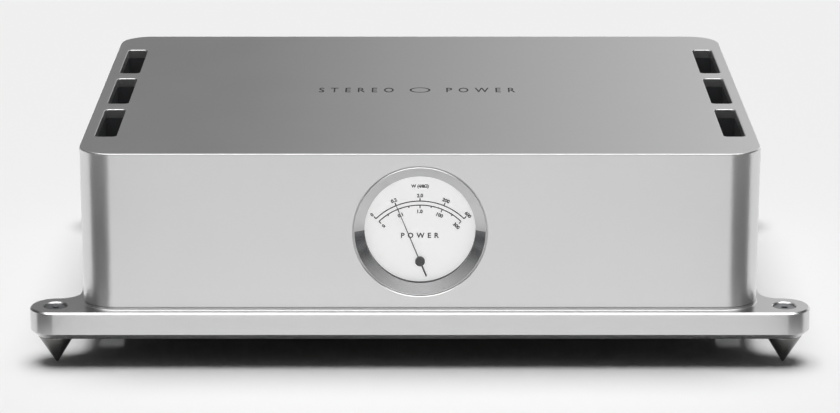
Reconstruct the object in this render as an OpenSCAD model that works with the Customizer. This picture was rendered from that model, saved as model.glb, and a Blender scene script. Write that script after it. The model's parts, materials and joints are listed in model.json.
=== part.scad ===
// Stereo power amplifier with a wattmeter, standing on a spiked base plate.
// Origin: on the floor, under the middle of the amplifier. X is right, -Y is front, Z is up.

/* [Body shell] */
// Width over the side walls
body_w = 440; // [436:1:444]
// Depth from the front face to the rear face
body_d = 340; // [338:1:344]
// Height of the top face above the floor
body_top = 143; // [142:0.5:150]
// Radius of the upright corners
corner_r = 22; // [20:1:24]
// Thickness of the top
top_t = 6; // [5:0.5:7]
// Thickness of the front wall
front_t = 10; // [10:0.5:11]
// Thickness of the side walls
side_t = 6; // [5:0.5:7]
// Thickness of the rear wall
rear_t = 8; // [7:0.5:9]
// Bevel along the top edge
top_bevel = 0.9; // [0.5:0.1:1.5]

/* [Top vents] */
// Width of one vent slot
vent_w = 14; // [12:0.5:14]
// Length of one vent slot
vent_l = 73; // [68:1:75]
// Wall between two vent slots
vent_gap = 16; // [12:1:18]
// Distance of the vent rows from the middle
vent_x = 205.5; // [205:0.1:206]
// Corner radius of a vent slot
vent_r = 3; // [2:0.5:5]
// Bevel round a vent slot
vent_bevel = 0.8; // [0.4:0.1:1.2]

/* [Base plate] */
// Height of the plate's top face above the floor
plate_top = 38; // [36:0.5:38]
// Thickness of the plate
plate_t = 18.7; // [17:0.1:19]
// How far the plate stands out at the front and the rear
plate_margin = 6; // [5:0.5:8]
// How far the plate stands out at the sides
plate_side_margin = 4; // [3.5:0.5:5]
// Bevel along the plate's lower edge
plate_low_bevel = 4; // [2:0.5:5]
// Bevel along the plate's upper edge
plate_top_bevel = 0.9; // [0.5:0.1:1.5]
// Radius of the round ears
ear_r = 16.5; // [16:0.5:18]
// Distance of the ear centres from the middle
ear_x = 237.5; // [237:0.5:240]
// Radius of the hollow corner between an ear and the side
ear_fillet = 13; // [8:0.5:13]
// Radius of the cove under the shell
cove_r = 3; // [2.5:0.1:3.2]
// Height of the cove under the shell
cove_h = 1.9; // [1.5:0.1:2.4]
// Shadow gap between the cove and the shell
shadow_gap = 0.4; // [0.3:0.1:0.8]

/* [Levelling feet] */
// Radius of a spike at its top
spike_r = 12; // [11:0.5:13]
// Height of the plain rim above the cone
spike_rim = 0.8; // [0.5:0.1:2]
// Radius of the blunt tip
spike_tip_r = 0.8; // [0.5:0.1:1.5]
// Radius of the M8 levelling thread
level_thread_r = 4; // [4:0.5:5]
// Radius of the levelling screw's head
level_head_r = 7.3; // [7:0.1:7.4]
// How far a spike can be screwed down
level_travel = 6; // [2:0.5:6]

/* [Wattmeter] */
// Height of the meter's centre above the floor
meter_z = 91; // [90:0.5:93]
// Outer radius of the bezel
meter_r = 43.2; // [42:0.1:44]
// Flat lip round the bezel's dish
bezel_lip = 0.8; // [0.5:0.1:1.5]
// Radius of the window
window_r = 35.9; // [35.5:0.1:36.2]
// Depth of the dished ring
dish_depth = 4.2; // [3:0.1:4.4]
// Depth of the dial behind the front face
dial_depth = 9.4; // [9.2:0.1:9.8]
// Distance of the needle's pivot below the meter's centre
pivot_drop = 22; // [20:0.5:22]
// Length of the needle from its pivot
needle_l = 41.1; // [35:0.1:43]
// Length of the needle's tail
needle_tail = 11; // [6:0.5:12]
// Angle of the needle left of upright, as drawn
needle_rest = 22.3; // [0:0.1:40]

/* [Rear panel] */
// Depth of the connector bay in the rear
bay_depth = 30; // [28:0.5:31]
// Width of the connector bay
bay_w = 352; // [345:1:356]
// Height of the connector bay
bay_h = 70; // [68:1:72]
// Height of the bay's centre above the floor
bay_z = 89; // [88:0.5:90]
// Distance of the inner speaker posts from the middle
post_in_x = 118; // [116:1:120]
// Distance of the outer speaker posts from the middle
post_out_x = 150; // [148:1:154]
// Radius of a speaker post's thread
post_r = 4; // [3:0.5:4]
// Radius of a banana plug's socket
banana_r = 2.05; // [2:0.01:2.1]

/* [Power supply] */
// Outer radius of the toroidal transformer
toroid_r = 88; // [80:1:88]
// Inner radius of the toroidal transformer
toroid_hole_r = 28; // [20:1:35]
// Height of the toroidal transformer
toroid_h = 70; // [60:1:72]
// Depth position of the transformer
toroid_y = -14; // [-16:1:-10]
// Radius of a filter capacitor
cap_r = 25; // [22:0.5:25]
// Height of a filter capacitor
cap_h = 77; // [60:1:80]
// Distance of the capacitors from the middle
cap_x = 139; // [138:1:140]
// Spacing of the capacitors
cap_pitch = 56; // [54:1:58]

/* [Hidden] */
$fn = 96;

// Shared planes
front_y = -body_d / 2;
rear_y = body_d / 2;
inner_front_y = front_y + front_t;
inner_rear_y = rear_y - rear_t;
inner_x = body_w / 2 - side_t;
ceiling_z = body_top - top_t;
plate_bottom = plate_top - plate_t;
floor_z = plate_top + cove_h + shadow_gap;
plate_x = body_w / 2 + plate_side_margin;
plate_y = body_d / 2 + plate_margin;
ear_y = plate_y - ear_r;
ear_in_y = ear_y - ear_r;
fit = 0.05;

// The four corners and the four speaker posts
CORNERS = ["front_left", "front_right", "rear_left", "rear_right"];
CORNER_SIGNS = [[-1, -1], [1, -1], [-1, 1], [1, 1]];
POST_X = [-post_out_x, -post_in_x, post_in_x, post_out_x];

// Levelling feet
head_t = 3;
head_recess = 1;
head_well_r = 7.5;
head_well_bevel = 0.9;
head_well_depth = head_recess + head_t + level_travel + 0.3;
screw_low_z = 9.7;
spike_bore_z = 9.5;

// Chimney heatsinks behind the side walls
sink_in_x = 191.5;
sink_half_l = 138;

// Wattmeter, as depths behind the front face
glass_depth = dish_depth + 0.7;
glass_t = 2;
hub_depth = glass_depth + glass_t + 0.4;
hub_t = dial_depth - 0.3 - hub_depth;
hub_r = 3.2;
tail_bore_r = window_r + 0.7;
tail_r = 39.3;
shoulder_depth = 7;
can_r = tail_bore_r - 0.1;
can_wall = 1.5;
dial_t = 1;
can_back = 46;
magnet_depth = 24;
magnet_t = 12;
coil_gap_r = 8.6;
pivot_r = 0.75;
coil_half_w = 8;
coil_front = 21.5;
coil_back = 38.5;

// Rear connector bay
panel_y = rear_y - bay_depth;
panel_t = 3;
tray_t = 2;
bay_corner_r = 4;
flange_w = 8;
xlr_x = 78;
rca_x = 46;
signal_z = 96;
trigger_z = 68;
inlet_z = 78.5;
drawer_z = 62.5;
rocker_z = 107;
inlet_mid_z = (inlet_z + drawer_z) / 2 + 2;
nut_l = 27;
washer_t = 1.9;
collar_t = 4;
latch_w = 8;
latch_h = 4;
latch_up = 12.2;
latch_in = 5;
latch_travel = 1.5;

// Boards and supports
board_t = 1.6;
board_z = floor_z + 8;
standoff_r = 3;
board_screw_r = 1.5;
supply_size = [66, 174];
supply_y = -28;
hole_inset = 4;
small_board = [76, 50];
small_board_at = [112, 101];
amp_board_x = 178;
amp_board_z = 88;
amp_board_size = [240, 78];
input_board_y = 128;
clamp_z = 118;
clamp_t = 3;
bridge_at = [45, 98];
transistor_n = 8;
transistor_pitch = 30;

// ---------- Shared shapes ----------

// Rounded rectangle with true arcs
module rounded_rect(w, d, r) {
  square([w - 2 * r, d], center = true);
  square([w, d - 2 * r], center = true);
  for (sx = [-1, 1], sy = [-1, 1])
    translate([sx * (w / 2 - r), sy * (d / 2 - r)]) circle(r);
}

// A layer that starts as a rounded rectangle and grows by g on all sides over its height
module taper_layer(w, d, r, g, h) {
  rotate([90, 0, 90]) linear_extrude(w - 2 * r, center = true)
    polygon([[-d / 2, 0], [d / 2, 0], [d / 2 + g, h], [-d / 2 - g, h]]);
  rotate([90, 0, 0]) linear_extrude(d - 2 * r, center = true)
    polygon([[-w / 2, 0], [w / 2, 0], [w / 2 + g, h], [-w / 2 - g, h]]);
  for (sx = [-1, 1], sy = [-1, 1])
    translate([sx * (w / 2 - r), sy * (d / 2 - r), 0]) cylinder(h = h, r1 = r, r2 = r + g);
}

// A box given by its two opposite corners
module span(a, b) {
  translate(a) cube(b - a);
}

// A ring about Z between two heights
module ring(r_out, r_in, z0, z1) {
  translate([0, 0, z0]) difference() {
    cylinder(h = z1 - z0, r = r_out);
    translate([0, 0, -1]) cylinder(h = z1 - z0 + 2, r = r_in);
  }
}

// Frame of the meter: z runs into the body from the front face, y runs down
module in_meter() {
  translate([0, front_y, meter_z]) rotate([-90, 0, 0]) children();
}

// The same frame, moved to the needle's pivot
module at_pivot() {
  in_meter() translate([0, pivot_drop, 0]) children();
}

// Frame on the rear panel: z runs out of the rear, y runs down
module on_panel(x, z) {
  translate([x, panel_y, z]) rotate([-90, 0, 0]) children();
}

// Places of the fasteners
module at_rear_screws() {
  for (x = [-160, -60, 60, 160], up = [-1, 1])
    translate([x, rear_y, bay_z + up * (bay_h / 2 + 5)]) rotate([90, 0, 0]) children();
}

module at_base_screws() {
  for (x = [-170, -85, 85, 170], y = [front_y + front_t / 2, rear_y - rear_t / 2])
    translate([x, y, plate_bottom]) children();
}

// Corners of the boards that lie flat
module at_flat_board_corners() {
  for (s = [-1, 1])
    translate([s * cap_x, supply_y, 0]) at_board_holes(supply_size) children();
  translate([small_board_at[0], small_board_at[1], 0]) at_board_holes(small_board) children();
}

// The four screw holes of a board of this size
module at_board_holes(size) {
  for (sx = [-1, 1], sy = [-1, 1])
    translate([sx * (size[0] / 2 - hole_inset), sy * (size[1] / 2 - hole_inset), 0]) children();
}

// Corners of the upright amplifier boards, z running out to the heatsink of each side
module at_amp_board_corners() {
  for (s = [-1, 1]) mirror([s < 0 ? 1 : 0, 0, 0])
    translate([amp_board_x, 0, amp_board_z]) rotate([0, 90, 0])
      at_board_holes([amp_board_size[1], amp_board_size[0]]) children();
}

// Screw holes of the square socket flanges and of the mains inlet, z running out of the rear
module at_connector_screws() {
  for (s = [-1, 1], t = [-1, 1])
    on_panel(s * xlr_x, signal_z) translate([t * 9.5, t * 12, 0]) children();
  for (s = [-1, 1])
    on_panel(s * 20, inlet_mid_z) children();
}

// ---------- Enclosure ----------

module vent_slots(h) {
  for (sx = [-1, 1], i = [-1, 0, 1])
    translate([sx * vent_x, i * (vent_l + vent_gap), 0])
      linear_extrude(h) rounded_rect(vent_w, vent_l, vent_r);
}

// One seamless machined shell: top and four walls, open below
module body_shell() {
  inner_d = inner_rear_y - inner_front_y;
  color("silver") difference() {
    union() {
      translate([0, 0, floor_z]) linear_extrude(body_top - top_bevel - floor_z)
        rounded_rect(body_w, body_d, corner_r);
      translate([0, 0, body_top - top_bevel]) taper_layer(body_w, body_d, corner_r, -top_bevel, top_bevel);
    }
    translate([0, (inner_rear_y + inner_front_y) / 2, floor_z - 1])
      linear_extrude(ceiling_z - floor_z + 1) rounded_rect(2 * inner_x, inner_d, corner_r - side_t);
    translate([0, 0, ceiling_z - 1]) vent_slots(top_t + 2);
    for (sx = [-1, 1], i = [-1, 0, 1])
      translate([sx * vent_x, i * (vent_l + vent_gap), body_top - vent_bevel])
        taper_layer(vent_w, vent_l, vent_r, vent_bevel * 1.25, vent_bevel * 1.25);
    in_meter() {
      translate([0, 0, -1]) cylinder(h = shoulder_depth + 1, r = meter_r + fit);
      cylinder(h = front_t + 1, r = tail_r + 0.2);
    }
    translate([0, rear_y + 1, bay_z]) rotate([90, 0, 0]) linear_extrude(rear_t + 2)
      rounded_rect(bay_w, bay_h, bay_corner_r);
    at_rear_screws() {
      translate([0, 0, -1]) cylinder(h = 1 + 3.2, r = 3);
      cylinder(h = rear_t + 1, r = 1.6);
    }
    at_base_screws() cylinder(h = floor_z - plate_bottom + 14, r = 2);
  }
}

// One layer of the plate's outline, drawn in by i0 at its bottom and by i1 at its top
module plate_layer(h, i0, i1) {
  m = max(i0, i1);
  rotate([90, 0, 90]) linear_extrude(2 * (plate_x - m), center = true)
    polygon([[i0 - plate_y, 0], [plate_y - i0, 0], [plate_y - i1, h], [i1 - plate_y, h]]);
  rotate([90, 0, 0]) linear_extrude(2 * (ear_in_y - ear_fillet), center = true)
    polygon([[i0 - plate_x, 0], [plate_x - i0, 0], [plate_x - i1, h], [i1 - plate_x, h]]);
  for (sy = [-1, 1]) {
    translate([0, sy * ear_y, 0]) rotate([90, 0, 90]) linear_extrude(2 * ear_x, center = true)
      polygon([[i0 - ear_r, 0], [ear_r - i0, 0], [ear_r - i1, h], [i1 - ear_r, h]]);
    for (sx = [-1, 1])
      translate([sx * ear_x, sy * ear_y, 0]) cylinder(h = h, r1 = ear_r - i0, r2 = ear_r - i1);
  }
  for (mx = [0, 1], my = [0, 1])
    mirror([mx, 0, 0]) mirror([0, my, 0]) difference() {
      span([plate_x - m - 1, ear_in_y - ear_fillet, 0], [plate_x + ear_fillet, ear_in_y + m + 1, h]);
      translate([plate_x + ear_fillet, ear_in_y - ear_fillet, 0])
        cylinder(h = h, r1 = ear_fillet + i0, r2 = ear_fillet + i1);
    }
}

// The hollow moulding that leads from the plate up to the shell
module cove() {
  w = body_w;
  d = body_d;
  rotate([90, 0, 90]) linear_extrude(w - 2 * corner_r, center = true) cove_section(d / 2);
  rotate([90, 0, 0]) linear_extrude(d - 2 * corner_r, center = true) cove_section(w / 2);
  for (sx = [-1, 1], sy = [-1, 1])
    translate([sx * (w / 2 - corner_r), sy * (d / 2 - corner_r), 0]) rotate_extrude()
      intersection() {
        cove_section(corner_r);
        square([w, cove_h]);
      }
}

module cove_section(half) {
  difference() {
    translate([-half - cove_r, 0]) square([2 * (half + cove_r), cove_h]);
    for (s = [-1, 1])
      translate([s * (half + cove_r), cove_r]) circle(cove_r);
  }
}

// Thick plate with four eared corners
module base_plate() {
  c = plate_low_bevel;
  b = plate_top_bevel;
  color("lightgray") difference() {
    union() {
      translate([0, 0, plate_bottom]) plate_layer(c, c, 0);
      translate([0, 0, plate_bottom + c]) plate_layer(plate_t - c - b, 0, 0);
      translate([0, 0, plate_top - b]) plate_layer(b, 0, b);
      translate([0, 0, plate_top]) cove();
      translate([0, 0, plate_top]) linear_extrude(floor_z - plate_top)
        rounded_rect(body_w - 3, body_d - 3, corner_r - 1.5);
    }
    translate([0, 0, plate_bottom - 1]) vent_slots(plate_t + 10);
    for (s = CORNER_SIGNS)
      translate([s[0] * ear_x, s[1] * ear_y, 0]) {
        translate([0, 0, plate_bottom - 1]) cylinder(h = plate_t, r = level_thread_r + fit);
        translate([0, 0, plate_top - head_well_depth]) cylinder(h = head_well_depth + 1, r = head_well_r);
        translate([0, 0, plate_top - head_well_bevel])
          cylinder(h = 2 * head_well_bevel, r1 = head_well_r, r2 = head_well_r + 2 * head_well_bevel);
      }
    translate([0, toroid_y, floor_z - 12]) cylinder(h = 13, r = 4 + fit);
    at_base_screws() {
      translate([0, 0, -1]) cylinder(h = plate_t + 10, r = 2.2);
      translate([0, 0, -1]) cylinder(h = 9, r = 4);
    }
    at_flat_board_corners() translate([0, 0, floor_z - 5]) cylinder(h = 6, r = board_screw_r);
    for (s = [-1, 1])
      translate([s * bridge_at[0], bridge_at[1], floor_z - 5]) cylinder(h = 6, r = board_screw_r);
  }
}

// Folded tray that carries the connectors, screwed inside the rear wall
module rear_panel() {
  color("dimgray") difference() {
    union() {
      translate([0, inner_rear_y, bay_z]) rotate([90, 0, 0])
        linear_extrude(inner_rear_y - panel_y + panel_t)
          rounded_rect(bay_w + 2 * tray_t, bay_h + 2 * tray_t, bay_corner_r + tray_t);
      translate([0, inner_rear_y, bay_z]) rotate([90, 0, 0]) linear_extrude(panel_t)
        rounded_rect(bay_w + 2 * flange_w, bay_h + 2 * flange_w, bay_corner_r + flange_w);
    }
    translate([0, inner_rear_y + 1, bay_z]) rotate([90, 0, 0])
      linear_extrude(inner_rear_y + 1 - panel_y) rounded_rect(bay_w, bay_h, bay_corner_r);
    at_rear_screws() cylinder(h = rear_t + panel_t + 1, r = 1.5 + fit);
    at_connector_screws() translate([0, 0, -panel_t - 1]) cylinder(h = panel_t + 2, r = 1.5);
    for (x = POST_X)
      on_panel(x, bay_z) translate([0, 0, -panel_t - 1]) cylinder(h = panel_t + 2, r = 6);
    for (s = [-1, 1]) {
      on_panel(s * xlr_x, signal_z) {
        translate([0, 0, -panel_t - 1]) cylinder(h = panel_t + 2, r = 11.8);
        span([-6, -16, -panel_t - 1], [6, 0, 1]);
      }
      on_panel(s * rca_x, signal_z) translate([0, 0, -panel_t - 1]) cylinder(h = panel_t + 2, r = 5);
    }
    on_panel(-rca_x, trigger_z) translate([0, 0, -panel_t - 1]) cylinder(h = panel_t + 2, r = 3.1);
    on_panel(0, 0) {
      span([-14.2, -inlet_z - 10.2, -panel_t - 1], [14.2, -drawer_z + 6.2, 1]);
      span([-11.2, -rocker_z - 12.7, -panel_t - 1], [11.2, -rocker_z + 12.7, 1]);
    }
  }
}

// Extruded sink whose three chimneys line up with the vents; the outer face lies on the side wall
module heatsink(side) {
  color([0.12, 0.12, 0.13]) difference() {
    mirror([side < 0 ? 1 : 0, 0, 0])
      span([sink_in_x, -sink_half_l, floor_z], [inner_x, sink_half_l, ceiling_z]);
    translate([0, 0, floor_z - 1]) vent_slots(ceiling_z - floor_z + 2);
    at_amp_board_corners() cylinder(h = sink_in_x - amp_board_x + 6, r = board_screw_r);
  }
}

// ---------- Levelling feet ----------

module at_corner(i) {
  translate([CORNER_SIGNS[i][0] * ear_x, CORNER_SIGNS[i][1] * ear_y, 0]) children();
}

// Cone foot; the levelling screw turns in its bore
module spike() {
  h = plate_bottom - fit;
  color("darkgray") rotate_extrude()
    polygon([
      [0, 0], [spike_tip_r, 0.3], [spike_r, h - spike_rim], [spike_r, h],
      [level_thread_r + fit, h], [level_thread_r + fit, spike_bore_z], [0, spike_bore_z]
    ]);
}

module level_screw() {
  top = plate_top - head_recess;
  color("gray") difference() {
    union() {
      translate([0, 0, screw_low_z]) cylinder(h = top - head_t - screw_low_z, r = level_thread_r);
      translate([0, 0, top - head_t]) cylinder(h = head_t, r = level_head_r);
    }
    translate([0, 0, top - 2]) cylinder(h = 3, r = 2.3, $fn = 6);
  }
}

// ---------- Wattmeter ----------

module insert_half() {
  offset_r = 0.27;
  offset_z = 0.42;
  lip_r = meter_r - bezel_lip;
  intersection() {
    rotate_extrude()
      polygon([
        [lip_r, 0], [window_r, dish_depth],
        [window_r + offset_r, dish_depth + offset_z], [lip_r + offset_r, offset_z]
      ]);
    span([-meter_r - 1, 0, -1], [meter_r + 1, meter_r + 1, dish_depth + 2]);
  }
}

// Dished ring with a threaded tail that passes through the front wall
module meter_bezel() {
  color("silver") in_meter() difference() {
    rotate_extrude()
      polygon([
        [window_r, dish_depth], [meter_r - bezel_lip, 0], [meter_r, 0], [meter_r, shoulder_depth],
        [tail_r, shoulder_depth], [tail_r, 18], [tail_bore_r, 18], [tail_bore_r, glass_depth],
        [window_r, glass_depth]
      ]);
    insert_half();
  }
}

// Polished lower half of the dish
module bezel_insert() {
  color("gray") in_meter() insert_half();
}

module meter_glass() {
  color([0.8, 0.9, 0.95, 0.4]) in_meter() translate([0, 0, glass_depth]) cylinder(h = glass_t, r = can_r);
}

module meter_spacer() {
  color("black") in_meter() ring(can_r, window_r, glass_depth + glass_t, dial_depth);
}

module dial_plate() {
  color("white") in_meter() difference() {
    translate([0, 0, dial_depth]) cylinder(h = dial_t, r = can_r);
    translate([0, pivot_drop, 0]) cylinder(h = 20, r = 2.5);
  }
}

// Pointer with its hub and counterweight tail
module needle() {
  z = hub_depth + hub_t / 2 - 0.2;
  color([0.1, 0.1, 0.1]) at_pivot() rotate([0, 0, -needle_rest]) difference() {
    union() {
      translate([0, 0, hub_depth]) cylinder(h = hub_t, r = hub_r);
      translate([0, 0, z]) linear_extrude(0.4)
        polygon([[-0.4, 0], [-0.2, -needle_l], [0.2, -needle_l], [0.4, 0]]);
      span([-0.55, 0, z], [0.55, needle_tail, z + 0.4]);
    }
    translate([0, 0, hub_depth + hub_t / 2]) cylinder(h = hub_t, r = pivot_r);
  }
}

// Coil former on its two pivots
module moving_coil() {
  shaft_front = hub_depth + hub_t / 2;
  color("peru") at_pivot() rotate([0, 0, -needle_rest]) {
    for (s = [-1, 1])
      translate([s * (coil_half_w - 0.6), 0, (coil_front + coil_back) / 2])
        cube([1.2, 2, coil_back - coil_front], center = true);
    for (z = [coil_front, coil_back - 1.5])
      span([-coil_half_w, -1, z], [coil_half_w, 1, z + 1.5]);
    translate([0, 0, shaft_front]) cylinder(h = coil_front + 0.5 - shaft_front, r = pivot_r);
    translate([0, 0, coil_back - 0.5]) cylinder(h = 4.5, r = pivot_r);
  }
}

// Block magnet with its core and the front bearing strap
module meter_magnet() {
  far = magnet_depth + magnet_t;
  color("darkslategray") at_pivot() difference() {
    union() {
      difference() {
        union() {
          translate([0, 0, magnet_depth]) cylinder(h = magnet_t, r = 11.3);
          span([-11.3, -45, magnet_depth], [11.3, 0, far]);
        }
        translate([0, 0, magnet_depth - 1]) cylinder(h = magnet_t + 2, r = coil_gap_r);
      }
      translate([0, 0, magnet_depth]) cylinder(h = magnet_t, r = 6.2);
      span([-2, -9, magnet_depth], [2, 9, far]);
      span([-8, -45, far], [8, -20, can_back - 2]);
      span([-3, -11, magnet_depth - 5], [3, 11, magnet_depth - 3.5]);
      for (s = [-1, 1])
        translate([0, s * 10.1, magnet_depth - 2]) cube([6, 1.8, 5], center = true);
    }
    translate([0, 0, magnet_depth - 6]) cylinder(h = 4, r = pivot_r + fit);
  }
}

// Drawn can with the rear bearing boss
module meter_can() {
  inner_back = can_back - 2;
  color("dimgray") {
    in_meter() difference() {
      translate([0, 0, dial_depth + dial_t]) cylinder(h = can_back - dial_depth - dial_t, r = can_r);
      cylinder(h = inner_back, r = can_r - can_wall);
    }
    at_pivot() ring(3, pivot_r + fit, inner_back - 3, inner_back);
  }
}

module meter_clamp_ring() {
  color("dimgray") in_meter() ring(46, tail_r, front_t, front_t + 5);
}

// Drive board of the meter on two posts behind the can
module meter_board() {
  color("darkgreen") in_meter() {
    translate([0, 0, can_back + 3]) cylinder(h = board_t, r = 30);
    for (s = [-1, 1])
      translate([s * 18, 0, can_back]) cylinder(h = 3, r = 3);
    span([-10, -8, can_back + 3 + board_t], [10, 0, can_back + 9]);
  }
}

// ---------- Power supply ----------

// Section of a ring with rounded edges, from r_in to r_out and 0 to h
module ring_section(r_in, r_out, h, r) {
  translate([(r_in + r_out) / 2, h / 2]) rounded_rect(r_out - r_in, h, r);
}

module at_toroid() {
  translate([0, toroid_y, floor_z]) children();
}

module transformer_core() {
  color("slategray") at_toroid() ring(toroid_r - 12, toroid_hole_r + 12, 13, toroid_h - 7);
}

module transformer_winding() {
  color("goldenrod") at_toroid() difference() {
    translate([0, 0, 3]) rotate_extrude() ring_section(toroid_hole_r, toroid_r, toroid_h, 9);
    ring(toroid_r - 12, toroid_hole_r + 12, 13, toroid_h - 7);
  }
}

module transformer_pads() {
  color("black") at_toroid() {
    ring(toroid_r - 10, 4 + fit, 0, 3);
    ring(60, 4 + fit, toroid_h + 3, toroid_h + 5);
  }
}

module transformer_washer() {
  color("lightgray") at_toroid() ring(55, 4 + fit, toroid_h + 5, toroid_h + 8);
}

module transformer_bolt() {
  color("gray") at_toroid() {
    translate([0, 0, -10]) cylinder(h = toroid_h + 18, r = 4);
    translate([0, 0, toroid_h + 8]) cylinder(h = 6.5, r = 7.5, $fn = 6);
  }
}

// One flat board with its four screw holes
module flat_board(size) {
  difference() {
    translate([-size[0] / 2, -size[1] / 2, 0]) cube([size[0], size[1], board_t]);
    at_board_holes(size) translate([0, 0, -1]) cylinder(h = 4, r = board_screw_r + 0.1);
  }
}

module supply_boards() {
  color("darkgreen") for (s = [-1, 1])
    translate([s * cap_x, supply_y, board_z]) flat_board(supply_size);
}

module at_capacitors() {
  for (s = [-1, 1], i = [-1, 0, 1])
    translate([s * cap_x, supply_y + i * cap_pitch, board_z + board_t]) children();
}

// Screw-terminal electrolytic capacitors with a rolled groove
module filter_capacitors() {
  color("navy") at_capacitors() rotate_extrude() difference() {
    square([cap_r, cap_h]);
    translate([cap_r + 1, cap_h - 7]) circle(2.2);
  }
}

// Plate with three holes that steadies the capacitors, on four posts
module capacitor_clamps() {
  low = board_z + board_t;
  color("lightgray") for (s = [-1, 1]) difference() {
    translate([s * cap_x, supply_y, 0]) {
      translate([-31, -85, clamp_z]) cube([62, 170, clamp_t]);
      for (sx = [-1, 1], sy = [-1, 1])
        translate([sx * 26, sy * 75, low]) cylinder(h = clamp_z - low + 1, r = standoff_r);
    }
    at_capacitors() cylinder(h = cap_h + 10, r = cap_r + fit);
  }
}

module bridge_rectifiers() {
  color([0.15, 0.15, 0.15]) for (s = [-1, 1])
    translate([s * bridge_at[0], bridge_at[1], floor_z]) {
      difference() {
        translate([-14.5, -14.5, 0]) cube([29, 29, 10]);
        translate([0, 0, -1]) cylinder(h = 12, r = 2.2);
      }
      for (sx = [-1, 1], sy = [-1, 1])
        translate([sx * 9 - 3, sy * 9 - 0.4, 10]) cube([6, 0.8, 9]);
    }
}

// Mains relay board with its relay, inrush limiters and a small transformer
module soft_start_board() {
  color("darkgreen") translate([small_board_at[0], small_board_at[1], board_z]) {
    flat_board(small_board);
    translate([-30, -14, board_t]) cube([28, 12, 25]);
    for (i = [0:2])
      translate([6 + 9 * i, -10, board_t + 7]) rotate([90, 0, 0]) cylinder(h = 4, r = 7.5);
    translate([-24, 3, board_t]) cube([44, 18, 20]);
  }
}

// ---------- Amplifier electronics ----------

// Upright driver boards with their heatsink-side parts
module amplifier_boards() {
  color("darkgreen") for (s = [-1, 1]) mirror([s < 0 ? 1 : 0, 0, 0])
    difference() {
      translate([amp_board_x - board_t, 0, amp_board_z]) {
        translate([0, -amp_board_size[0] / 2, -amp_board_size[1] / 2])
          cube([board_t, amp_board_size[0], amp_board_size[1]]);
        for (y = [-90:36:90])
          translate([board_t - 0.1, y, -22]) rotate([0, 90, 0]) cylinder(h = 7, r = 5);
      }
      at_amp_board_corners() translate([0, 0, -5]) cylinder(h = 8, r = board_screw_r + 0.1);
    }
}

// Plastic power packages against the sinks, with their leads to the boards
module output_transistors() {
  color([0.1, 0.1, 0.1]) for (s = [-1, 1]) mirror([s < 0 ? 1 : 0, 0, 0])
    for (i = [0:transistor_n - 1])
      translate([sink_in_x, (i - (transistor_n - 1) / 2) * transistor_pitch, 84]) {
        translate([-5, -8, 0]) cube([5, 16, 21]);
        for (j = [-1, 0, 1])
          translate([amp_board_x - sink_in_x, j * 5.4 - 0.5, 2])
            cube([sink_in_x - amp_board_x - 4.5, 1, 0.6]);
      }
}

// One small board behind each pair of signal sockets
module input_boards() {
  color("darkgreen") for (s = [-1, 1]) mirror([s < 0 ? 1 : 0, 0, 0]) {
    span([34, input_board_y - board_t, 75], [96, input_board_y, 118]);
    for (x = [42, 54, 66])
      span([x, input_board_y - board_t - 6, 100], [x + 8, input_board_y - board_t, 112]);
  }
}

module board_standoffs() {
  color("gold") {
    at_flat_board_corners() ring(standoff_r, board_screw_r, floor_z, board_z);
    at_amp_board_corners() ring(standoff_r, board_screw_r, 0, sink_in_x - amp_board_x);
  }
}

// ---------- Rear connectors ----------

module at_xlr(s) {
  on_panel(s * xlr_x, signal_z) children();
}

// Square-flanged balanced sockets with an annular well for the plug's shell
module xlr_sockets() {
  back = input_board_y - panel_y;
  color([0.2, 0.2, 0.2]) for (s = [-1, 1]) at_xlr(s) difference() {
    union() {
      linear_extrude(2) rounded_rect(26, 33, 3);
      translate([0, 0, back]) cylinder(h = 1 - back, r = 11.5);
      span([-5.6, -15.6, back], [5.6, 0, 1]);
    }
    translate([0, 0, -10]) difference() {
      cylinder(h = 20, r = 9.6);
      translate([0, 0, -1]) cylinder(h = 12.5, r = 7.9);
    }
    for (a = [90, 210, 330])
      rotate([0, 0, a]) translate([4.7, 0, -8]) cylinder(h = 20, r = 1.3);
    translate([0, -latch_up, -latch_in - latch_travel - 1.5])
      linear_extrude(20) square([latch_w + 0.3, latch_h + 0.3], center = true);
    for (t = [-1, 1])
      translate([t * 9.5, t * 12, -1]) cylinder(h = 4, r = 1.6);
  }
}

// Thumb tab that frees the plug
module xlr_latch(s) {
  color("lightgray") at_xlr(s) translate([0, -latch_up, 0])
    span([-latch_w / 2, -latch_h / 2, -latch_in], [latch_w / 2, latch_h / 2, 4.5]);
}

// Gold phono sockets
module rca_sockets() {
  back = input_board_y - panel_y;
  color("gold") for (s = [-1, 1]) on_panel(s * rca_x, signal_z) difference() {
    union() {
      translate([0, 0, back]) cylinder(h = -back, r = 4.8);
      cylinder(h = 2, r = 7);
      cylinder(h = 10.5, r = 4.15);
    }
    translate([0, 0, 9.5]) cylinder(h = 2, r = 3.2);
    translate([0, 0, 0.5]) cylinder(h = 11, r = 1.65);
  }
}

// Remote start socket for a 3.5 mm plug
module trigger_socket() {
  color([0.2, 0.2, 0.2]) on_panel(-rca_x, trigger_z) difference() {
    union() {
      translate([0, 0, -14]) cylinder(h = 15, r = 3);
      cylinder(h = 3, r = 5);
      span([-5, -5, -15], [5, 5, -panel_t]);
    }
    translate([0, 0, -12]) cylinder(h = 20, r = 1.8);
  }
}

// Studs with their insulating collars and inner nuts
module speaker_posts() {
  color("gold") for (x = POST_X) on_panel(x, bay_z) difference() {
    union() {
      translate([0, 0, -14]) cylinder(h = 44, r = post_r);
      cylinder(h = collar_t, r = 9);
      translate([0, 0, -panel_t]) cylinder(h = panel_t + 1, r = 6);
      translate([0, 0, -panel_t - 5]) cylinder(h = 5, r = 9, $fn = 6);
    }
    translate([0, 0, 8]) cylinder(h = 30, r = banana_r);
  }
}

module post_washer() {
  color("goldenrod") ring(8.5, post_r + fit, collar_t + 0.1, collar_t + 0.1 + washer_t);
}

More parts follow.
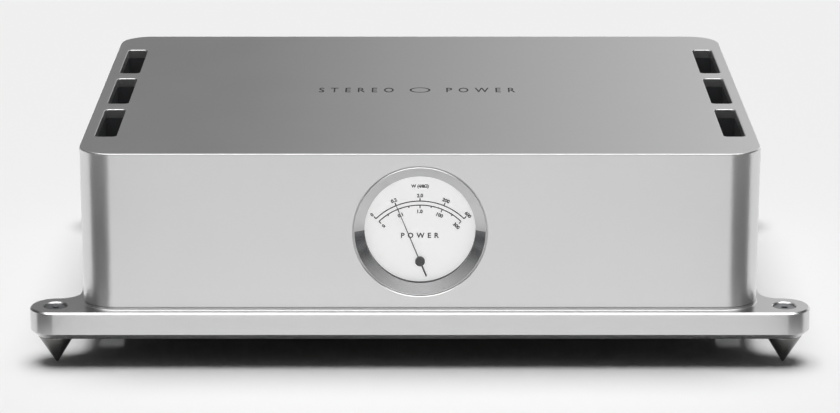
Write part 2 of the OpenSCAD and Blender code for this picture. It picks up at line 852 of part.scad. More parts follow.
// Fluted clamping nut
module post_nut() {
  low = collar_t + washer_t + 0.2;
  color("gold") difference() {
    translate([0, 0, low]) {
      cylinder(h = nut_l, r = 8.6);
      translate([0, 0, 2]) cylinder(h = nut_l - 4, r = 9.2);
    }
    translate([0, 0, low - 1]) cylinder(h = nut_l + 2, r = post_r + fit);
    for (i = [0:11])
      rotate([0, 0, 30 * i]) translate([10.1, 0, low + 1.9]) cylinder(h = nut_l - 3.8, r = 1.5);
  }
}

// Three-pin mains socket with the fuse drawer's slot below it
module mains_inlet() {
  color([0.15, 0.15, 0.15]) on_panel(0, 0) {
    difference() {
      union() {
        translate([0, -inlet_mid_z, 0]) linear_extrude(2) rounded_rect(50, 35, 5);
        span([-14, -inlet_z - 10, -22], [14, -drawer_z + 6, 1]);
      }
      translate([0, -inlet_z, -14]) linear_extrude(17)
        polygon([[-12.2, 8.3], [12.2, 8.3], [12.2, -4], [8, -8.3], [-8, -8.3], [-12.2, -4]]);
      span([-12.15, -drawer_z - 4.15, -21], [12.15, -drawer_z + 4.15, 3]);
      for (s = [-1, 1])
        translate([s * 20, -inlet_mid_z, -1]) cylinder(h = 4, r = 1.6);
    }
    for (x = [-7, 7])
      translate([x, -inlet_z - 1, -15]) span([-1, -2, 0], [1, 2, 13]);
    translate([0, -inlet_z - 4.5, -15]) span([-1, -2, 0], [1, 2, 14]);
  }
}

// Drawer with a finger lip and a trough for the fuse
module fuse_drawer() {
  color([0.25, 0.25, 0.25]) on_panel(0, drawer_z) difference() {
    union() {
      span([-12, -4, -20], [12, 4, 2.1]);
      span([-12, -4, 2], [12, 4, 3.4]);
    }
    span([-9, -6, -18], [9, 2.7, -6]);
    span([-5, 1.5, 2.6], [5, 5, 5]);
  }
}

module mains_fuse() {
  color("lightcyan") on_panel(0, drawer_z)
    translate([-8.9, 0.1, -12]) rotate([0, 90, 0]) cylinder(h = 17.8, r = 2.5);
}

// Rocker switch: the frame snaps into the panel, the rocker tips on two stub pins
module rocker_frame() {
  color([0.15, 0.15, 0.15]) on_panel(0, rocker_z) difference() {
    union() {
      linear_extrude(2) rounded_rect(24, 29.6, 2);
      span([-11, -12.5, -16], [11, 12.5, 1]);
    }
    span([-9.3, -11.9, -10], [9.3, 11.9, 3]);
    translate([0, 0, -0.5]) rotate([0, 90, 0]) cylinder(h = 21.4, r = 1.5 + fit, center = true);
  }
}

module power_rocker() {
  color("black") on_panel(0, rocker_z) translate([0, 0, -0.5]) rotate([-8, 0, 0]) {
    rotate([90, 0, 90]) linear_extrude(18, center = true)
      polygon([[-9, -4], [-10.4, 5], [0, 2.6], [10.4, 5], [9, -4]]);
    rotate([0, 90, 0]) cylinder(h = 21, r = 1.5, center = true);
  }
}

// ---------- Fasteners ----------

// Socket-head screw along +z, its head starting at 0
module cap_screw(r, l, head_r, head_h, hex_r) {
  difference() {
    union() {
      cylinder(h = head_h, r = head_r);
      cylinder(h = head_h + l, r = r);
    }
    translate([0, 0, -1]) cylinder(h = 1 + head_h * 0.6, r = hex_r, $fn = 6);
  }
}

module rear_screws() {
  color("dimgray") {
    at_rear_screws() translate([0, 0, 0.3]) cap_screw(1.5, 10, 2.8, 2.9, 1.3);
    at_connector_screws() translate([0, 0, 3.6]) mirror([0, 0, 1]) cap_screw(1.5, 8, 2.6, 1.6, 1.2);
  }
}

module base_screws() {
  color("dimgray") at_base_screws() translate([0, 0, 4]) cap_screw(2, 26, 3.6, 4, 1.7);
}

// Screws of the flat boards and the rectifiers
module board_screws() {
  color("silver") {
    at_flat_board_corners() translate([0, 0, floor_z - 4]) {
      cylinder(h = board_z - floor_z + 4 + board_t, r = board_screw_r);
      translate([0, 0, board_z - floor_z + 4 + board_t]) cylinder(h = 2.2, r = 2.8);
    }
    at_amp_board_corners() {
      translate([0, 0, -board_t]) cylinder(h = sink_in_x - amp_board_x + 6, r = board_screw_r);
      translate([0, 0, -board_t - 2.2]) cylinder(h = 2.2, r = 2.8);
    }
    for (s = [-1, 1])
      translate([s * bridge_at[0], bridge_at[1], floor_z - 4]) {
        cylinder(h = 14, r = board_screw_r);
        translate([0, 0, 14]) cylinder(h = 2.4, r = 3.2);
      }
  }
}

// ---------- Nodes ----------

body_shell();
base_plate();
rear_panel();
heatsink(-1);  // heatsink_left
heatsink(1);  // heatsink_right
for (i = [0:3]) {
  at_corner(i) spike();
  at_corner(i) level_screw();
  on_panel(POST_X[i], bay_z) post_washer();
  on_panel(POST_X[i], bay_z) post_nut();
}
meter_bezel();
bezel_insert();
meter_glass();
meter_spacer();
dial_plate();
needle();
moving_coil();
meter_magnet();
meter_can();
meter_clamp_ring();
meter_board();
transformer_core();
transformer_winding();
transformer_pads();
transformer_washer();
transformer_bolt();
supply_boards();
filter_capacitors();
capacitor_clamps();
bridge_rectifiers();
soft_start_board();
amplifier_boards();
output_transistors();
input_boards();
board_standoffs();
xlr_sockets();
xlr_latch(-1);  // xlr_latch_left
xlr_latch(1);  // xlr_latch_right
rca_sockets();
trigger_socket();
speaker_posts();
mains_inlet();
fuse_drawer();
mains_fuse();
rocker_frame();
power_rocker();
rear_screws();
base_screws();
board_screws();
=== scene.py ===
# %% [markdown]
# # A stereo power amplifier with a wattmeter
#
# The amplifier is a seamless silver shell on a thick base plate. The plate has an ear at each corner,
# and a pointed steel foot under each ear. A round wattmeter looks out of the front, and the top has
# three vent slots on each side. The CAD model gives every size and place. This notebook gives the
# visible pieces their crisp edges and every surface its material, one piece at a time.

# %% Load the frame
import json
from math import cos, pi, radians, sin, tan

import bmesh
import bpy
from mathutils import Matrix, Vector


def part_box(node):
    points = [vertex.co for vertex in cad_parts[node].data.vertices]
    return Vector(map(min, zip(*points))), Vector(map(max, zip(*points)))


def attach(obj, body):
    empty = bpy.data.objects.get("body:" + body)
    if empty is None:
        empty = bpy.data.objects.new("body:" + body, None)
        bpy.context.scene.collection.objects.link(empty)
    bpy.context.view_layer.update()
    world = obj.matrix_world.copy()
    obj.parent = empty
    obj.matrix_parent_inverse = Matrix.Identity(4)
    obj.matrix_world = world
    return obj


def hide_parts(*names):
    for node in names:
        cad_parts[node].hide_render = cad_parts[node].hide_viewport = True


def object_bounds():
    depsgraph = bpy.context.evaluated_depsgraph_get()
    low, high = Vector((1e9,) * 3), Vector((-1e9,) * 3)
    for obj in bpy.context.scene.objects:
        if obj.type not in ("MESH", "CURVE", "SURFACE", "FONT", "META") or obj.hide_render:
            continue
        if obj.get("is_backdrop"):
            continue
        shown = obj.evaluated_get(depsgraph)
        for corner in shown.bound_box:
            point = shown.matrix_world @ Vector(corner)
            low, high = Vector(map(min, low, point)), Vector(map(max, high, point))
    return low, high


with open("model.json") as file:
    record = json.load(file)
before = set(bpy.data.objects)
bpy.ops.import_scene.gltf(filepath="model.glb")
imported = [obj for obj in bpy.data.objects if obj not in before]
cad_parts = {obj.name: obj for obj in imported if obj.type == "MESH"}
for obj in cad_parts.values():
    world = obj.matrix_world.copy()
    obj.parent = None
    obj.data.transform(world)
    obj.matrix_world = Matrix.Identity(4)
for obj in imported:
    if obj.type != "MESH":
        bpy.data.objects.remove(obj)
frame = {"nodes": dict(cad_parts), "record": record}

scene = bpy.context.scene
MM = 0.001
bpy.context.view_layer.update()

# %% [markdown]
# ## Measuring the frame
#
# Every place comes from the frame, so that a change in the CAD moves the pieces too. Each size is
# read from the box of a CAD node, in millimetres, because machined parts are drawn in millimetres.

# %% Sizes from the frame
def box_mm(node):
    """The lowest and the highest corner of a CAD node, in millimetres."""
    low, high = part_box(node)
    return low / MM, high / MM


def middle_mm(node):
    """The middle of a CAD node's box, in millimetres."""
    low, high = box_mm(node)
    return (low + high) / 2


shell_low, shell_high = box_mm("body_shell")
plate_low, plate_high = box_mm("base_plate")
front_y = shell_low.y
meter_z = middle_mm("meter_bezel").z
print("the shell's top is", round(shell_high.z, 1), "mm above the floor")

# %% [markdown]
# ## Colour and node helpers
#
# A paint chart gives sRGB values, but the renderer adds light linearly, so one function turns a hex
# value into linear red, green and blue. The other helper adds a shader node with its settings and
# its links, which keeps each material short enough to read in one look.

# %% Helpers for materials
def linear(code):
    """A linear RGBA colour from an sRGB hex code such as '#D9DADC'."""
    channels = [int(code[i:i + 2], 16) / 255 for i in (1, 3, 5)]
    return [c / 12.92 if c <= 0.04045 else ((c + 0.055) / 1.055) ** 2.4 for c in channels] + [1.0]


def link(tree, made, **inputs):
    """Gives a node's inputs their values, or links them from other nodes' sockets."""
    for name, value in inputs.items():
        key = int(name[1:]) if name[0] == "_" else name.replace("_", " ")
        if isinstance(value, bpy.types.NodeSocket):
            tree.links.new(value, made.inputs[key])
        else:
            made.inputs[key].default_value = value


def node(tree, kind, settings=None, **inputs):
    """Adds a node with its own settings and its inputs, and returns it."""
    made = tree.nodes.new(kind)
    for name, value in (settings or {}).items():
        setattr(made, name, value)
    link(tree, made, **inputs)
    return made


def new_material(name, colour, roughness, metallic=0.0, **more):
    """A material with one Principled shader; more sets other sockets by name."""
    made = bpy.data.materials.new(name)
    made.use_nodes = True
    tree = made.node_tree
    shader = tree.nodes["Principled BSDF"]
    link(tree, shader, Base_Color=linear(colour), Roughness=roughness, Metallic=metallic, **more)
    return made, tree, shader


def point_in_steps(tree, step_mm):
    """The surface point on the piece, counted in steps of this many millimetres."""
    place = tree.nodes.new("ShaderNodeTexCoord").outputs["Object"]
    scale = [1 / (step_mm * MM)] * 3
    return node(tree, "ShaderNodeMapping", Vector=place, Scale=scale).outputs["Vector"]

# %% [markdown]
# ## Blasted and anodised aluminium
#
# The shell and the plate are aluminium, machined, bead blasted with fine glass grit and then clear
# anodised. Blasting leaves an even dimple about 0.1 mm across, which spreads a reflection into a
# soft sheen. A real dimple would be too fine to show here, so the grain is drawn at 1.5 mm, and a
# slow cloud of 45 mm keeps the sheen from being perfectly even.

# %% Blasted aluminium
def blasted_aluminium(name, colour, roughness):
    """Bead-blasted and anodised aluminium: a satin metal with a very fine, even grain."""
    made, tree, shader = new_material(name, colour, roughness, 1.0)
    grain = node(tree, "ShaderNodeTexNoise", Vector=point_in_steps(tree, 1.5), Scale=1.0, Detail=3.0)
    cloud = node(tree, "ShaderNodeTexNoise", Vector=point_in_steps(tree, 45), Scale=1.0, Detail=3.0)
    gloss = node(tree, "ShaderNodeMapRange", Value=cloud.outputs["Fac"],
                 To_Min=roughness - 0.03, To_Max=roughness + 0.03)
    relief = node(tree, "ShaderNodeBump", Height=grain.outputs["Fac"], Distance=0.004 * MM, Strength=0.4)
    link(tree, shader, Roughness=gloss.outputs["Result"], Normal=relief.outputs["Normal"])
    return made


shell_aluminium = blasted_aluminium("bead blasted shell aluminium", "#DFDFDF", 0.3)
plate_aluminium = blasted_aluminium("bead blasted plate aluminium", "#D6D6D6", 0.29)
print("made", shell_aluminium.name, "and", plate_aluminium.name)

# %% [markdown]
# ## Turned and polished metal
#
# A lathe leaves fine rings round its axis. They could be a bump texture wrapped round the piece, but
# noise along the distance from the axis gives the same rings with no unwrapping. Plated metal has
# almost no texture, only a faint unevenness of its gloss.

# %% Turned and plated metals
METER_CENTRE = (0, front_y, meter_z)


def turned_metal(name, colour, roughness, pitch, depth, centre, across):
    """A lathe-turned metal: fine rings pitch mm apart, counted in the directions named by across."""
    made, tree, shader = new_material(name, colour, roughness, 1.0)
    place = tree.nodes.new("ShaderNodeTexCoord").outputs["Object"]
    away = node(tree, "ShaderNodeVectorMath", {"operation": "SUBTRACT"}, _0=place,
                _1=[v * MM for v in centre])
    flat = node(tree, "ShaderNodeVectorMath", {"operation": "MULTIPLY"}, _0=away.outputs["Vector"],
                _1=across)
    radius = node(tree, "ShaderNodeVectorMath", {"operation": "LENGTH"}, _0=flat.outputs["Vector"])
    rings = node(tree, "ShaderNodeTexNoise", {"noise_dimensions": "1D"}, W=radius.outputs["Value"],
                 Scale=1 / (pitch * MM), Detail=2.0)
    gloss = node(tree, "ShaderNodeMapRange", Value=rings.outputs["Fac"],
                 To_Min=roughness - 0.05, To_Max=roughness + 0.07)
    relief = node(tree, "ShaderNodeBump", Height=rings.outputs["Fac"], Distance=depth * MM)
    link(tree, shader, Roughness=gloss.outputs["Result"], Normal=relief.outputs["Normal"])
    return made


def bright_metal(name, colour, roughness):
    """A plated or polished metal: smooth, with a faint unevenness in its gloss."""
    made, tree, shader = new_material(name, colour, roughness, 1.0)
    haze = node(tree, "ShaderNodeTexNoise", Vector=point_in_steps(tree, 2), Scale=1.0, Detail=3.0)
    gloss = node(tree, "ShaderNodeMapRange", Value=haze.outputs["Fac"],
                 To_Min=roughness * 0.8, To_Max=roughness * 1.3)
    link(tree, shader, Roughness=gloss.outputs["Result"])
    return made


bezel_satin = turned_metal("satin turned bezel aluminium", "#CFCFCF", 0.3, 0.5, 0.004, METER_CENTRE,
                           (1, 0, 1))
print("made", bezel_satin.name)

# %% [markdown]
# ## The polish and painted reflection of the meter's lower half
#
# The lower half of the meter's ring is an insert with a deeper polish. A painted reflection runs over it
# from dark where it meets the upper half to light at the bottom. The ring is only 43 mm high there, so
# a ramp of colour over the height gives that, and it stays with the piece from every side.

# %% Polish with a painted reflection
def polish_with_painted_reflection(name):
    """Polished aluminium with a painted reflection, dark where it meets the upper half and light at the
    bottom.
    """
    made, tree, shader = new_material(name, "#8A8B8D", 0.22, 1.0)
    low, high = box_mm("bezel_insert")
    place = tree.nodes.new("ShaderNodeTexCoord").outputs["Object"]
    height = node(tree, "ShaderNodeSeparateXYZ", Vector=place).outputs["Z"]
    share = node(tree, "ShaderNodeMapRange", Value=height, From_Min=high.z * MM, From_Max=low.z * MM)
    # The ramp paints a reflection into the colour: dark at the top of the insert, light at its bottom.
    tint = node(tree, "ShaderNodeValToRGB", Fac=share.outputs["Result"])
    tint.color_ramp.interpolation = "EASE"
    painted_reflection_shades = ((0.12, "#8A8B8D"), (0.85, "#CDCDCE"))
    for stop, (position, colour) in zip(tint.color_ramp.elements, painted_reflection_shades):
        stop.position = position
        stop.color = linear(colour)
    haze = node(tree, "ShaderNodeTexNoise", Vector=point_in_steps(tree, 1.5), Scale=1.0)
    gloss = node(tree, "ShaderNodeMapRange", Value=haze.outputs["Fac"], To_Min=0.18, To_Max=0.28)
    link(tree, shader, Base_Color=tint.outputs["Color"], Roughness=gloss.outputs["Result"])
    return made


# The lower half's polish, with a painted reflection in its colour.
bezel_polished = polish_with_painted_reflection("graded polished bezel aluminium")
print("made", bezel_polished.name)

# %% [markdown]
# ## Plastics, paint, boards, wire and glass
#
# The dial is a painted sheet, the needle is lacquered, and the connectors are moulded nylon. Moulds
# for such parts are spark eroded, which leaves a fine pebble grain on the plastic. The dial's paint
# gets a weak glow, painted light that brightens it as a lamp behind the ring would, with no lamp of
# its own. The glass is coated like a lens, which keeps the printing black behind it.

# %% Plastics, paint, boards, wire and glass
def moulded_plastic(name, colour, roughness, grain_mm=0.8, depth=0.01):
    """Moulded plastic or powder coat with a fine pebble grain."""
    made, tree, shader = new_material(name, colour, roughness)
    grain = node(tree, "ShaderNodeTexNoise", Vector=point_in_steps(tree, grain_mm), Scale=1.0, Detail=2.0)
    gloss = node(tree, "ShaderNodeMapRange", Value=grain.outputs["Fac"],
                 To_Min=roughness - 0.06, To_Max=roughness + 0.06)
    relief = node(tree, "ShaderNodeBump", Height=grain.outputs["Fac"], Distance=depth * MM)
    link(tree, shader, Roughness=gloss.outputs["Result"], Normal=relief.outputs["Normal"])
    return made


def dial_paint_with_painted_glow(name):
    """Matt paint on sheet metal with a trace of orange peel, with a weak painted glow that brightens it.
    """
    # The emission is a painted glow: it brightens the dial in place of light that reaches it.
    made, tree, shader = new_material(name, "#BEBEBE", 0.55, Emission_Color=linear("#FFFFFF"),
                                      Emission_Strength=0.585)
    peel = node(tree, "ShaderNodeTexNoise", Vector=point_in_steps(tree, 1.2), Scale=1.0, Detail=1.0)
    tint = node(tree, "ShaderNodeMix", {"data_type": "RGBA"}, _0=peel.outputs["Fac"],
                _6=linear("#C1C1C1"), _7=linear("#BABABA"))
    relief = node(tree, "ShaderNodeBump", Height=peel.outputs["Fac"], Distance=0.003 * MM)
    link(tree, shader, Base_Color=tint.outputs[2], Normal=relief.outputs["Normal"])
    return made


def circuit_board(name):
    """Green solder mask over glass cloth, with the copper under it showing as lighter lines."""
    made, tree, shader = new_material(name, "#17512C", 0.35, Coat_Weight=0.4, Coat_Roughness=0.2)
    tracks = node(tree, "ShaderNodeTexVoronoi", {"distance": "MANHATTAN"},
                  Vector=point_in_steps(tree, 6), Scale=1.0)
    share = node(tree, "ShaderNodeMapRange", Value=tracks.outputs["Distance"], From_Min=0.36,
                 From_Max=0.42)
    tint = node(tree, "ShaderNodeMix", {"data_type": "RGBA"}, _0=share.outputs["Result"],
                _6=linear("#1F6B3A"), _7=linear("#17512C"))
    link(tree, shader, Base_Color=tint.outputs[2])
    return made


def wound_wire(name, colour, pitch):
    """Enamelled copper wire laid side by side, pitch mm apart."""
    made, tree, shader = new_material(name, colour, 0.3, 0.6)
    turns = node(tree, "ShaderNodeTexWave", Vector=point_in_steps(tree, 6 * pitch), Scale=1.0,
                 Distortion=1.0)
    relief = node(tree, "ShaderNodeBump", Height=turns.outputs["Fac"], Distance=0.3 * MM)
    link(tree, shader, Normal=relief.outputs["Normal"])
    return made


def clear_glass(name):
    """Float glass with a lens maker's coating against reflections, and a faint smear in its gloss."""
    made, tree, shader = new_material(name, "#FFFFFF", 0.0, Transmission_Weight=1.0, IOR=1.45,
                                      Specular_IOR_Level=0.15)
    smear = node(tree, "ShaderNodeTexNoise", Vector=point_in_steps(tree, 20), Scale=1.0, Detail=2.0)
    gloss = node(tree, "ShaderNodeMapRange", Value=smear.outputs["Fac"], To_Min=0.0, To_Max=0.015)
    link(tree, shader, Roughness=gloss.outputs["Result"])
    return made


FINISHES = {
    "shell_aluminium": shell_aluminium,
    "plate_aluminium": plate_aluminium,
    "panel_black": moulded_plastic("black powder coated steel", "#1B1C1E", 0.5, 1.0, 0.03),
    "sink_black": moulded_plastic("black powder coated fins", "#4F5053", 0.5, 1.0, 0.01),
    "spike_steel": bright_metal("turned stainless steel", "#8A8988", 0.24),
    "screw_dark": bright_metal("blued steel", "#8B8C8F", 0.35),
    "bezel_satin": bezel_satin,
    "bezel_polished": bezel_polished,
    "meter_glass": clear_glass("float glass"),
    "dial_white": dial_paint_with_painted_glow("matt white dial paint"),
    "needle_black": moulded_plastic("black lacquered aluminium", "#1C1C1E", 0.35, 0.8, 0.002),
    "black_plastic": moulded_plastic("black epoxy moulding", "#1E1E1F", 0.45),
    "copper_coil": wound_wire("copper coil wire", "#B5653A", 0.2),
    "magnet_iron": bright_metal("nickel plated magnet iron", "#77777A", 0.4),
    "zinc_steel": bright_metal("zinc plated steel", "#B9BBBE", 0.35),
    "board_green": circuit_board("green circuit board"),
    "enamelled_winding": wound_wire("enamelled winding wire", "#A8662F", 1.1),
    "pad_rubber": moulded_plastic("black rubber pad", "#242424", 0.75, 1.0, 0.03),
    "capacitor_sleeve": moulded_plastic("blue capacitor sleeve", "#23304F", 0.3, 3.0, 0.01),
    "nickel_brass": bright_metal("nickel plated brass", "#C6C3BC", 0.25),
    "socket_black": moulded_plastic("black glass filled nylon", "#1A1A1B", 0.4),
    "latch_steel": bright_metal("bright stamped steel", "#B4B6B9", 0.28),
    "gold_brass": bright_metal("gold plated brass", "#D9B25F", 0.2),
    "rocker_black": moulded_plastic("black rocker plastic", "#161617", 0.3, 0.8, 0.005),
    "screw_black": bright_metal("blackened steel", "#5C5D60", 0.35),
}
print("made", len(FINISHES), "finishes")

# %% [markdown]
# ## Shape helpers
#
# Most pieces are either a stack of rounded rectangles or a profile turned round an axis. Both are
# drawn in millimetres round the origin. `to_object` then turns them to metres and puts them in
# place, and `finish_piece` gives them their material and the body that they ride on. A bevel
# modifier breaks the edges as a deburring tool does, and weighted normals keep the large flat faces
# flat right up to them.

# %% Helpers for shapes
def rounded_outline(bm, width, depth, radius, height, steps=10):
    """One flat face with four round corners at this height; returns it."""
    made = bmesh.ops.create_grid(bm, x_segments=1, y_segments=1, size=0.5)["verts"]
    bmesh.ops.scale(bm, vec=(width, depth, 1), verts=made)
    bmesh.ops.translate(bm, vec=(0, 0, height), verts=made)
    before = set(bm.faces) - set(made[0].link_faces)
    bmesh.ops.bevel(bm, geom=made, affect="VERTICES", offset=radius, segments=steps, profile=0.5,
                    material=-1, offset_type="OFFSET")
    return (set(bm.faces) - before).pop()


def stack(levels, radius, steps=10):
    """A closed solid through rounded rectangles, each given as (width, depth, inset, height)."""
    bm = bmesh.new()
    rings = []
    for width, depth, inset, height in levels:
        face = rounded_outline(bm, width - 2 * inset, depth - 2 * inset, radius - inset, height, steps)
        rings.append(face)
    edges = [list(face.edges) for face in rings]
    bmesh.ops.delete(bm, geom=rings[1:-1], context="FACES_ONLY")
    for lower, upper in zip(edges, edges[1:]):
        bmesh.ops.bridge_loops(bm, edges=lower + upper)
    bmesh.ops.recalc_face_normals(bm, faces=bm.faces)
    return bm


def turned(profile, steps=96, angle=2 * pi):
    """Spins a profile of (radius, height) points round Z, as a lathe does. It may end on the axis."""
    bm = bmesh.new()
    points = [bm.verts.new((radius, 0, height)) for radius, height in profile]
    if angle < 2 * pi:
        bm.faces.new(points)
    else:
        on_axis = profile[0][0] == 0 and profile[-1][0] == 0
        for pair in zip(points, points[1:] if on_axis else points[1:] + points[:1]):
            bm.edges.new(pair)
    geometry = list(bm.verts) + list(bm.edges) + list(bm.faces)
    bmesh.ops.spin(bm, geom=geometry, cent=(0, 0, 0), axis=(0, 0, 1), angle=angle, steps=steps,
                   use_merge=angle >= 2 * pi)
    bmesh.ops.remove_doubles(bm, verts=bm.verts, dist=0.001)
    bmesh.ops.recalc_face_normals(bm, faces=bm.faces)
    return bm


def raised(bm, height):
    """Extrudes every face of a flat bmesh by this height."""
    made = bmesh.ops.extrude_face_region(bm, geom=bm.faces)["geom"]
    moved = [v for v in made if isinstance(v, bmesh.types.BMVert)]
    bmesh.ops.translate(bm, vec=(0, 0, height), verts=moved)
    bmesh.ops.recalc_face_normals(bm, faces=bm.faces)


def to_object(bm, name, place=Matrix()):
    """A mesh object in metres from a bmesh in millimetres, with its place in its mesh."""
    mesh = bpy.data.meshes.new(name)
    bmesh.ops.transform(bm, matrix=Matrix.Scale(MM, 4) @ place, verts=bm.verts)
    bm.to_mesh(mesh)
    bm.free()
    made = bpy.data.objects.new(name, mesh)
    scene.collection.objects.link(made)
    return made


def settle(piece):
    """Replaces a piece's mesh by what its modifiers make of it."""
    shown = piece.evaluated_get(bpy.context.evaluated_depsgraph_get())
    mesh = bpy.data.meshes.new_from_object(shown)
    piece.modifiers.clear()
    piece.data = mesh


def combine(piece, others, operation, crossing=False):
    """Joins other solids to a piece, or cuts them out of it, and throws them away.

    A crossing solid may cut through itself, as the strokes of a letter do.
    """
    for other in others:
        tool = piece.modifiers.new("combine", "BOOLEAN")
        tool.operation = operation
        tool.solver = "EXACT"
        tool.use_self = crossing
        tool.object = other
    settle(piece)
    for other in others:
        bpy.data.objects.remove(other)


def cut(piece, *cutters, crossing=False):
    """Cuts solids out of a piece."""
    combine(piece, cutters, "DIFFERENCE", crossing)


def join(piece, *others):
    """Joins solids to a piece."""
    combine(piece, others, "UNION")


def smooth(piece, sharp=32, edge=0.0, segments=2):
    """Smooth shading with crisp edges; edge is the width in mm that deburring leaves."""
    for face in piece.data.polygons:
        face.use_smooth = max(abs(v) for v in face.normal) < 0.99999
    if edge:
        deburr = piece.modifiers.new("deburred edges", "BEVEL")
        deburr.width = edge * MM
        deburr.segments = segments
        deburr.limit_method = "ANGLE"
        deburr.angle_limit = radians(sharp)
        deburr.miter_outer = "MITER_ARC"
    else:
        piece.data.set_sharp_from_angle(angle=radians(sharp))
    flat = piece.modifiers.new("flat faces stay flat", "WEIGHTED_NORMAL")
    flat.keep_sharp = True
    flat.weight = 80


def finish_piece(piece, body, nodes, slot, *materials):
    """Gives a piece its materials, its body and the CAD nodes that it stands for."""
    for material in materials or [FINISHES[slot]]:
        piece.data.materials.append(material)
    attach(piece, body)
    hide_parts(*nodes)
    print("made", piece.name, "with", len(piece.data.polygons), "faces")
    return piece


METER = Matrix.Translation(METER_CENTRE) @ Matrix.Rotation(radians(-90), 4, "X")
print("the meter's frame looks into the body, with its Y axis down")

# %% [markdown]
# ## The shell
#
# The real shell is one block of aluminium, hollowed from below, with its six vents, the meter's bore
# and the rear window milled through. It could be four walls and a lid, but no seam shows, so it is
# one solid: a stack of rounded rectangles with a rounded top edge, and the rest is cut away with
# Booleans. Each vent's cutter flares at the top, which leaves the vent's rounded rim.

# %% Shell: the solid and its cavity
CORNER_R = 22
SIDE_WALL = 6
FRONT_WALL = 10
REAR_WALL = 8
TOP_WALL = 6
EDGE_R = 0.9

shell_size = shell_high - shell_low
top_z = shell_high.z


def rounded_over(radius, high, steps=4):
    """(inset, height) along an edge that is rounded over to end at this height."""
    turns = [radians(90) * i / steps for i in range(steps + 1)]
    return [(radius * (1 - cos(a)), high - radius * (1 - sin(a))) for a in turns]


levels = [(0, shell_low.z)] + rounded_over(EDGE_R, top_z)
body = stack([(shell_size.x, shell_size.y, i, z) for i, z in levels], CORNER_R, 16)
shell = to_object(body, "shell")

cavity_d = shell_size.y - FRONT_WALL - REAR_WALL
cavity_w = shell_size.x - 2 * SIDE_WALL
cavity = stack([(cavity_w, cavity_d, 0, z) for z in (shell_low.z - 1, top_z - TOP_WALL)],
               CORNER_R - SIDE_WALL)
cutters = [to_object(cavity, "cavity", Matrix.Translation((0, (FRONT_WALL - REAR_WALL) / 2, 0)))]
print("the shell's walls are", SIDE_WALL, "to", FRONT_WALL, "mm thick")

# %% Shell: vents, meter bore and rear window
VENT = {"width": 14, "length": 73, "radius": 3, "rim": 0.8, "across": 205.5, "apart": 89}
VENT_PLACES = [(side * VENT["across"], step * VENT["apart"]) for side in (-1, 1) for step in (-1, 0, 1)]
METER_R = 43.2
BORE_BREAK = 0.55
BAY = {"width": 352, "height": 70, "radius": 4, "z": 89}
REAR_SCREW = {"across": (-160, -60, 60, 160), "from_bay": 5, "shank_r": 1.6, "head_r": 3, "head_deep": 3.2}


def vent_cutter(across, along):
    """A slot through the top whose mouth flares to the vent's rounded rim."""
    rim = VENT["rim"]
    flare = [(-i, z) for i, z in rounded_over(rim, top_z)]
    flare = [(0, top_z - TOP_WALL - 1)] + flare + [(-rim, top_z + 1)]
    bm = stack([(VENT["width"], VENT["length"], i, z) for i, z in flare], VENT["radius"], 6)
    return to_object(bm, "vent cutter", Matrix.Translation((across, along, 0)))


cutters += [vent_cutter(*place) for place in VENT_PLACES]
bore = turned([(0, -1), (METER_R + BORE_BREAK, -1), (METER_R + BORE_BREAK, 0), (METER_R, BORE_BREAK),
               (METER_R, FRONT_WALL + 1), (0, FRONT_WALL + 1)])
cutters.append(to_object(bore, "meter bore", METER))
window = stack([(BAY["width"], BAY["height"], 0, z) for z in (-REAR_WALL - 1, 1)], BAY["radius"], 6)
REAR = Matrix.Translation((0, shell_high.y, BAY["z"])) @ Matrix.Rotation(radians(-90), 4, "X")
cutters.append(to_object(window, "rear window", REAR))
shank = [(0, -REAR_WALL - 1), (REAR_SCREW["shank_r"], -REAR_WALL - 1)]
shank += [(REAR_SCREW[radius], -REAR_SCREW["head_deep"]) for radius in ("shank_r", "head_r")]
for across in REAR_SCREW["across"]:
    for side in (-1, 1):
        hole = turned(shank + [(REAR_SCREW["head_r"], 1), (0, 1)], 24)
        up = side * (BAY["height"] / 2 + REAR_SCREW["from_bay"])
        cutters.append(to_object(hole, "rear screw hole", REAR @ Matrix.Translation((across, up, 0))))
cut(shell, *cutters)
print("the shell has", len(VENT_PLACES), "vents")

# %% [markdown]
# ## The engraving in the top
#
# The real top has a line of thin, wide-set capitals cut by an engraving machine and filled with dark
# paint. Here the words are ordinary ones, on both sides of a plain ring. They could be a texture,
# but real grooves catch the light at every angle, so the letters become solids that are cut 0.3 mm
# deep. The groove keeps its own dark material, because a Boolean keeps the cutter's material index.

# %% Engraving
GROOVE = 0.3
CUTTER_H = 2 * GROOVE
LETTER_CAP = 13
LINE_Y = 2
RING_R = (5.9, 7.2)


def lettering(words, cap, spacing=1.0, stroke=0.0, narrow=1.0, thickness=0.0):
    """Letters cap mm high as a bmesh, centred on the origin and facing +Z."""
    curve = bpy.data.curves.new("letters", "FONT")
    curve.body = words
    curve.space_character = spacing
    curve.offset = stroke
    curve.resolution_u = 3
    holder = bpy.data.objects.new("letters", curve)
    scene.collection.objects.link(holder)
    flat = bpy.data.meshes.new_from_object(holder.evaluated_get(bpy.context.evaluated_depsgraph_get()))
    bpy.data.objects.remove(holder)
    bm = bmesh.new()
    bm.from_mesh(flat)
    bmesh.ops.remove_doubles(bm, verts=bm.verts, dist=0.0001)
    low = Vector([min(v.co[i] for v in bm.verts) for i in range(3)])
    high = Vector([max(v.co[i] for v in bm.verts) for i in range(3)])
    bmesh.ops.translate(bm, vec=-(low + high) / 2, verts=bm.verts)
    size = cap / (high.y - low.y)
    bmesh.ops.scale(bm, vec=(size * narrow, size, 1), verts=bm.verts)
    if thickness:
        raised(bm, thickness)
    return bm


